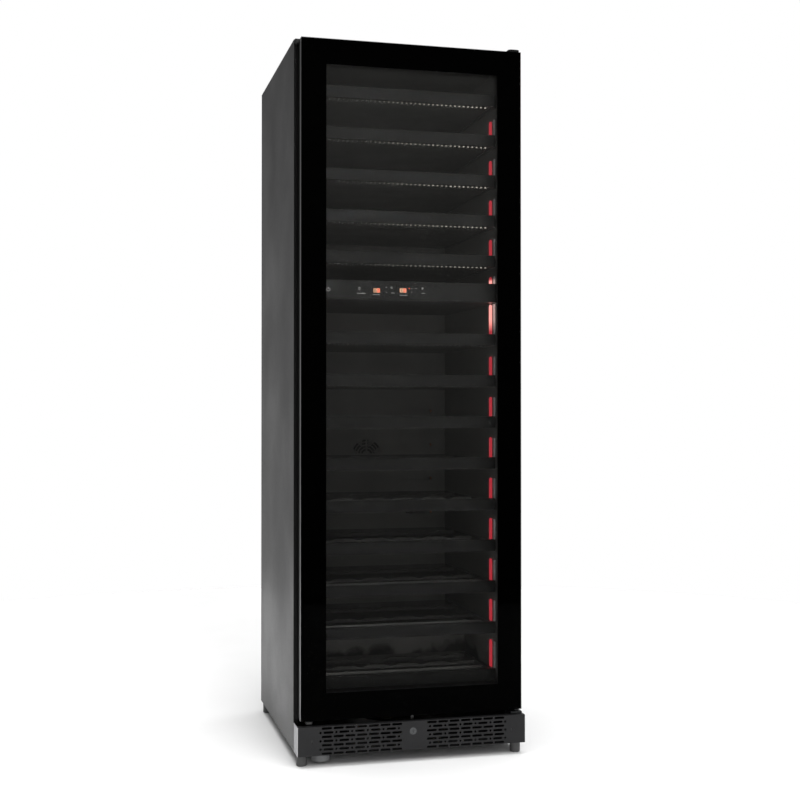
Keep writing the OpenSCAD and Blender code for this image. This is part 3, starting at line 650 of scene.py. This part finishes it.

# ---------- shelves: turned-down rims of the air slots, which carry a painted glow ---

SLOT_X = range(-222, 223, 12)
RIM = 0.3 * MM
RIM_DROP = (2.2 * MM, 0.35 * MM)
RIM_CLEAR = 0.01 * MM
for name in SHELF_NAMES:
    rims = bmesh.new()
    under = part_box(name)[0].z
    for x in SLOT_X:
        for near, drop in zip(SLOT_Y, RIM_DROP):
            left, right = x * MM - SLOT_SIZE[0] / 2, x * MM + SLOT_SIZE[0] / 2
            far = near + SLOT_SIZE[1]
            walls = ((left - RIM, near - RIM, right + RIM, near), (left - RIM, far, right + RIM, far + RIM),
                     (left - RIM, near, left, far), (right, near, right + RIM, far))
            for x0, y0, x1, y1 in walls:
                add_box(rims, (x0, y0, under - drop), (x1, y1, under - RIM_CLEAR))
    make_piece(name + "_slot_rims", rims, slot_rim_glow, name + "_body")

# ---------- fixings and small mouldings ----------


def add_screw(mesh, x, y, z, radius=3.6 * MM, lift=1.7 * MM, steps=16):
    """Pan head that faces +Y, with a recess in its middle."""
    profile = ((radius, 0), (radius, 0.45), (0.9 * radius, 0.8), (0.55 * radius, 1.0), (0.38 * radius, 0.98),
               (0.22 * radius, 0.35))
    rings = []
    for r, rise in profile:
        rings.append([mesh.verts.new((x + r * math.cos(t), y + rise * lift, z + r * math.sin(t)))
                      for t in (2 * math.pi * k / steps for k in range(steps))])
    for a, b in zip(rings, rings[1:]):
        for k in range(steps):
            j = (k + 1) % steps
            mesh.faces.new((a[k], a[j], b[j], b[k]))
    mesh.faces.new(rings[-1])
    mesh.faces.new(rings[0][::-1])


rear_low, rear_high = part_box("rear_panel")
cover_low, cover_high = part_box("machine_cover")
screws = bmesh.new()
SCREW_INSET = 7 * MM
SCREW_END = 15 * MM
SCREWS_UP = 6
step = (rear_high.z - rear_low.z - 2 * SCREW_END) / (SCREWS_UP - 1)
for x in (rear_low.x + SCREW_INSET, rear_high.x - SCREW_INSET):
    for k in range(SCREWS_UP):
        add_screw(screws, x, rear_high.y, rear_low.z + SCREW_END + k * step)
    for z in (cover_low.z + SCREW_END, cover_high.z - 12 * MM):
        add_screw(screws, x, cover_high.y, z)
for x in (-150 * MM, 0, 150 * MM):
    add_screw(screws, x, rear_high.y, rear_high.z - 8 * MM)
    add_screw(screws, x, cover_high.y, cover_high.z - 6 * MM)
heads = make_piece("rear_screw_heads", screws, finishes["screw_steel"], "cabinet")
smooth(heads, 40)

# Blanking cap on the free side's upper corner, where a left-hung door would have its bracket
mouth_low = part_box("front_frame")[0]
CAP_X = (-296.8 * MM, -272 * MM)
CAP_Z = (1815 * MM, 1828.5 * MM)
cap = bmesh.new()
add_box(cap, (CAP_X[0], mouth_low.y - 11 * MM, CAP_Z[0]), (CAP_X[1], mouth_low.y - 0.1 * MM, CAP_Z[1]))
corner = make_piece("corner_cap", cap, cap_grey, "cabinet")
bevel_piece(corner, 2.2, 4)

# ---------- floor and light ----------

FLOOR_RADIUS = 3
FLOOR_DROP = 0.5 * MM
floor_mesh = bmesh.new()
bmesh.ops.create_circle(floor_mesh, cap_ends=True, radius=FLOOR_RADIUS, segments=96)
floor_data = bpy.data.meshes.new("floor")
floor_mesh.to_mesh(floor_data)
floor_mesh.free()
floor = bpy.data.objects.new("floor", floor_data)
floor.location.z = -FLOOR_DROP
floor_data.materials.append(finish("pale_floor", (0.62, 0.62, 0.62), (0.7, 0.8), contrast=0.01))
bpy.context.scene.collection.objects.link(floor)


def background(tree, colour):
    """Background shader of this colour output."""
    node = tree.nodes.new("ShaderNodeBackground")
    tree.links.new(colour, node.inputs["Color"])
    return node.outputs["Background"]


def blend_backgrounds(tree, factor, at_zero, at_one):
    """Mix of two background shaders."""
    node = tree.nodes.new("ShaderNodeMixShader")
    tree.links.new(factor, node.inputs[0])
    tree.links.new(at_zero, node.inputs[1])
    tree.links.new(at_one, node.inputs[2])
    return node.outputs["Shader"]


def make_world():
    """White behind the object for the camera; a dim front and a graded back for what is lit."""
    world = bpy.data.worlds.new("studio")
    world.use_nodes = True
    tree = world.node_tree
    tree.nodes.clear()
    place = tree.nodes.new("ShaderNodeTexCoord")
    split = tree.nodes.new("ShaderNodeSeparateXYZ")
    tree.links.new(place.outputs["Generated"], split.inputs["Vector"])
    up = spread(tree, split.outputs["Z"], 0, 1, -1, 1)
    back = ramp(tree, up, [(0.0, (0.5,) * 3), (0.42, (0.6,) * 3), (0.5, (0.52,) * 3), (0.58, (0.34,) * 3),
                           (0.66, (0.18,) * 3), (1.0, (0.9,) * 3)])
    front = ramp(tree, up, [(0.0, (0.1,) * 3), (0.5, (0.05,) * 3), (0.7, (0.10,) * 3),
                            (1.0, (0.9,) * 3)])
    side = spread(tree, split.outputs["Y"], 0, 1, -0.25, 0.35)
    seen = tree.nodes.new("ShaderNodeBackground")
    seen.inputs["Color"].default_value = (1, 1, 1, 1)
    path = tree.nodes.new("ShaderNodeLightPath")
    lit = blend_backgrounds(tree, side, background(tree, front), background(tree, back))
    shown = blend_backgrounds(tree, path.outputs["Is Camera Ray"], lit, seen.outputs["Background"])
    out = tree.nodes.new("ShaderNodeOutputWorld")
    tree.links.new(shown, out.inputs["Surface"])
    bpy.context.scene.world = world


def lamp(name, kind, place, target, energy, size, size_y=None):
    """Lamp aimed at a target; size is an area lamp's width in metres or a sun's angle in radians."""
    data = bpy.data.lights.new(name, kind)
    data.energy = energy
    if kind == "AREA":
        data.shape = "RECTANGLE"
        data.size = size
        data.size_y = size_y
    else:
        data.angle = size
    light = bpy.data.objects.new(name, data)
    light.location = place
    aim = Vector(target) - Vector(place)
    light.rotation_euler = aim.to_track_quat("-Z", "Y").to_euler()
    light.visible_glossy = kind != "AREA"
    bpy.context.scene.collection.objects.link(light)
    return light


make_world()
lamp("overhead", "SUN", (0, 0, 5), (0.15, 0.3, 0), 3.4, math.radians(50))
lamp("front_soft", "AREA", (0.6, -3.4, 3.4), (0, 0, 1.0), 130, 2.4, 1.6)
high = lamp("front_high", "AREA", (0.3, -2.6, 2.1), (0, -0.2, 1.55), 24, 1.2, 0.8)
high.data.spread = math.radians(55)
lamp("front_fill", "AREA", (-0.4, -3.8, 1.0), (0, 0, 0.9), 60, 2.2, 2.2)

view = bpy.context.scene.view_settings
view.view_transform = "Standard"
view.look = "None"
